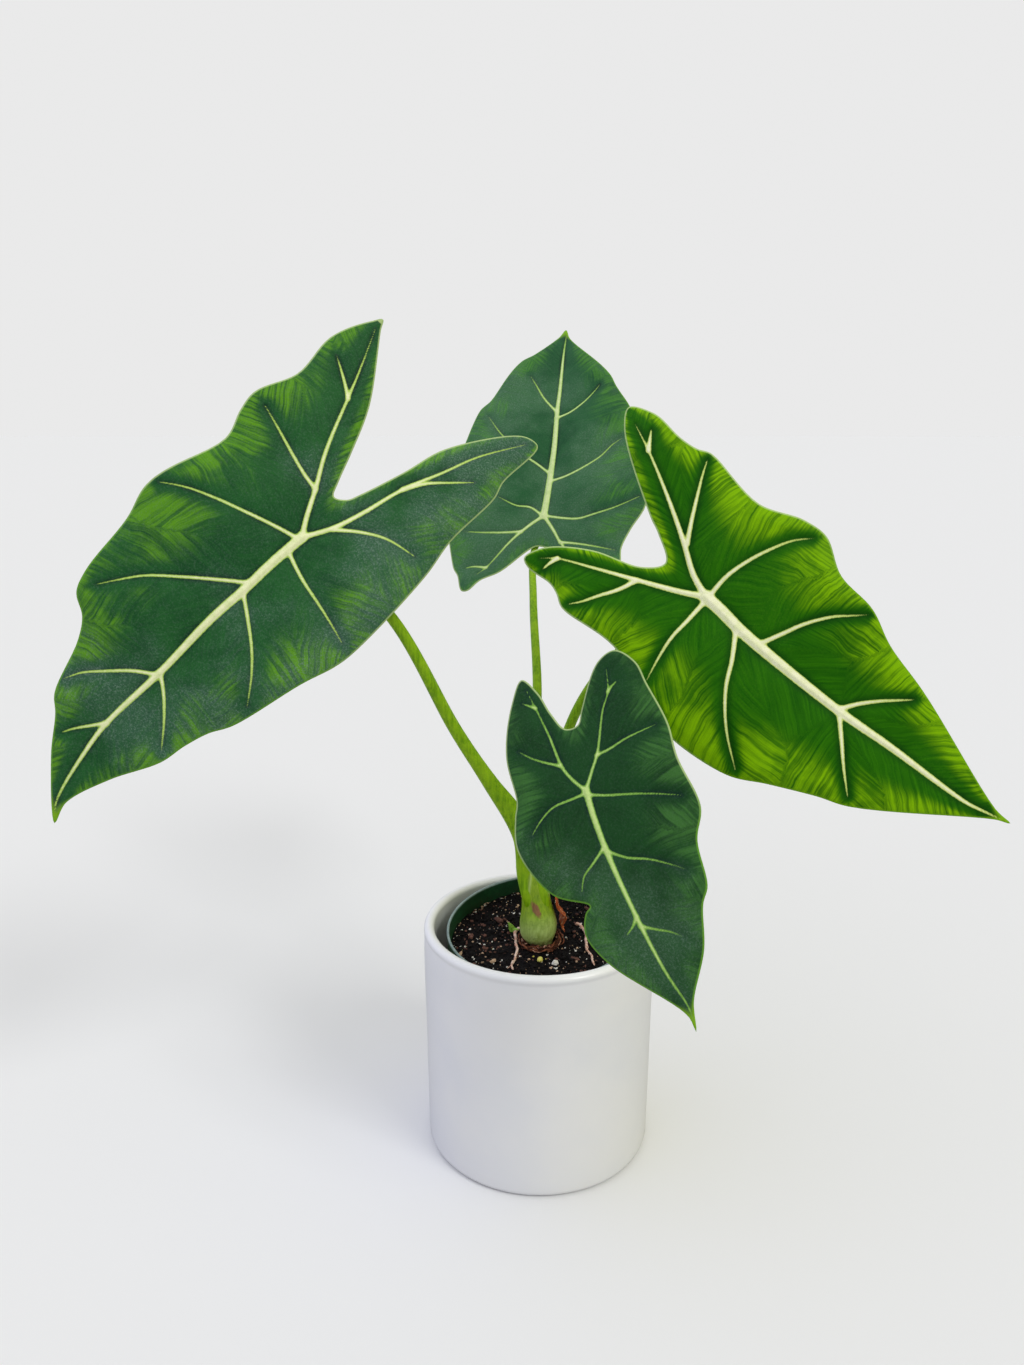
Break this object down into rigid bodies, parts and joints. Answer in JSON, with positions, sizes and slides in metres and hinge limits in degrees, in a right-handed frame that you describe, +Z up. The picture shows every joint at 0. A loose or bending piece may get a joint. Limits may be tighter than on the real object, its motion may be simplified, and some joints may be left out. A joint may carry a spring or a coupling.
{
  "type": "potted frydek alocasia",
  "caption": "Velvet-leaved aroid house plant in a grower's pot, standing inside a plain white glazed pot.",
  "frame": {"origin": "centre of the white pot's underside", "axes": "+Z up, -Y towards the side the leaves face, +X to the right seen from that side"},
  "size_m": [0.4415, 0.3804, 0.4588],
  "materials": {
    "glaze_white": "glossy white glaze",
    "grower_green": "satin dark green",
    "potting_mix": "damp crumbly mix",
    "stem_green": "smooth plant skin",
    "fibre_brown": "dry fibres",
    "sheath_rust": "papery",
    "sprout_green": "smooth plant skin",
    "root_pink": "smooth root skin",
    "perlite": "rough grain",
    "bark": "rough bark",
    "blade_dark": "velvety dark green with pale veins",
    "blade_bright": "velvety bright green with cream veins"
  },
  "bodies": {
    "root": {"white_pot": "glaze_white", "nursery_pot": "grower_green", "soil": "potting_mix", "fibre_collar": "fibre_brown", "stem_base": "stem_green", "dry_sheath": "sheath_rust", "sprout": "sprout_green", "root_left": "root_pink", "root_right": "root_pink", "perlite_white": "perlite", "perlite_yellowed": "perlite", "bark_chip_back": "bark", "bark_chip_left": "bark", "bark_chip_right": "bark", "petiole_left": "stem_green", "petiole_right": "stem_green", "petiole_front": "stem_green", "petiole_back": "stem_green", "blade_left": "blade_dark", "blade_right": "blade_bright", "blade_front": "blade_dark", "blade_back": "blade_dark"}
  },
  "joints": []
}
